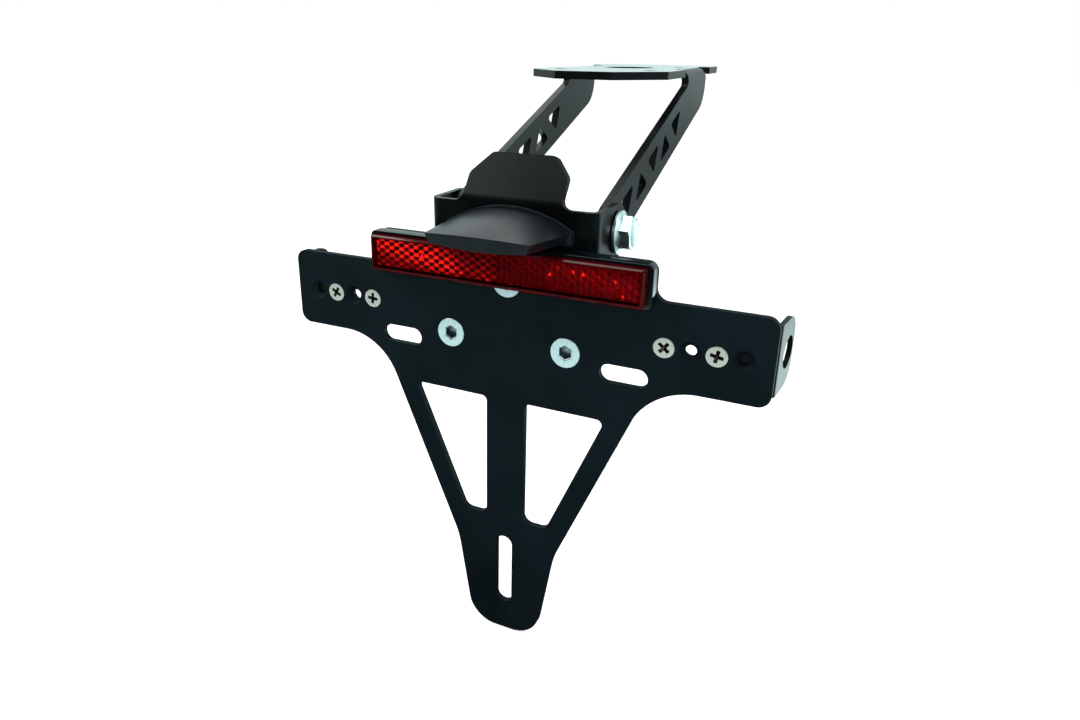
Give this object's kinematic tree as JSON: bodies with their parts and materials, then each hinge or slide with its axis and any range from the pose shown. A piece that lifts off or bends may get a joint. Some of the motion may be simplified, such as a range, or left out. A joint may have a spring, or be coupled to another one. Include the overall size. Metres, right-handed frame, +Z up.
{
  "type": "motorbike tail tidy",
  "caption": "Motorbike tail tidy: bent mounting bracket with truss arms, tilting number plate carrier with windows and slots, red reflector, hooded light, indicator brackets",
  "frame": {"origin": "centre of the four tail bolts on the top face of the mounting bracket", "axes": "+Z up out of the mounting face, +Y forward along the bike away from the number plate, X across"},
  "size_m": [0.221, 0.242, 0.2534],
  "materials": {
    "black_anodised": "satin black anodised",
    "black_powder_coat": "matte fine-textured black powder coat",
    "zinc_steel": "bright zinc plated",
    "stainless_steel": "plain stainless",
    "foam_tape": "matte foam",
    "reflector_backing": "matte",
    "red_lens": "gloss prismatic red",
    "black_rubber": "matte",
    "hood_plastic": "matte dark grey moulding",
    "board": "white solder mask",
    "led": "yellow phosphor",
    "clear_lens": "clear polycarbonate"
  },
  "bodies": {
    "tail_mount": {"mounting_bracket": "black_anodised", "pivot_bolt_right": "zinc_steel", "pivot_bolt_left": "zinc_steel", "pivot_washer_right": "zinc_steel", "pivot_washer_left": "zinc_steel", "pivot_nut_right": "zinc_steel", "pivot_nut_left": "zinc_steel"},
    "tilting_carrier": {"pivot_bracket": "black_anodised", "plate_carrier": "black_powder_coat", "carrier_screws": "zinc_steel", "carrier_washers": "zinc_steel", "carrier_nuts": "zinc_steel", "indicator_bracket_right": "black_anodised", "indicator_bracket_left": "black_anodised", "indicator_screws_right": "stainless_steel", "indicator_screws_left": "stainless_steel", "indicator_nuts_right": "stainless_steel", "indicator_nuts_left": "stainless_steel", "reflector_tape": "foam_tape", "reflector_back": "reflector_backing", "reflector_lens": "red_lens", "light_gasket": "black_rubber", "light_hood": "hood_plastic", "light_board": "board", "light_leds": "led", "light_lens": "clear_lens", "light_screws": "stainless_steel", "light_grommet": "black_rubber"}
  },
  "joints": [
    {"name": "plate_tilt", "type": "hinge", "parent": "tail_mount", "child": "tilting_carrier", "pos_m": [0, -0.1107, -0.0601], "axis": [1, 0, 0], "range_deg": [-30, 15]}
  ]
}
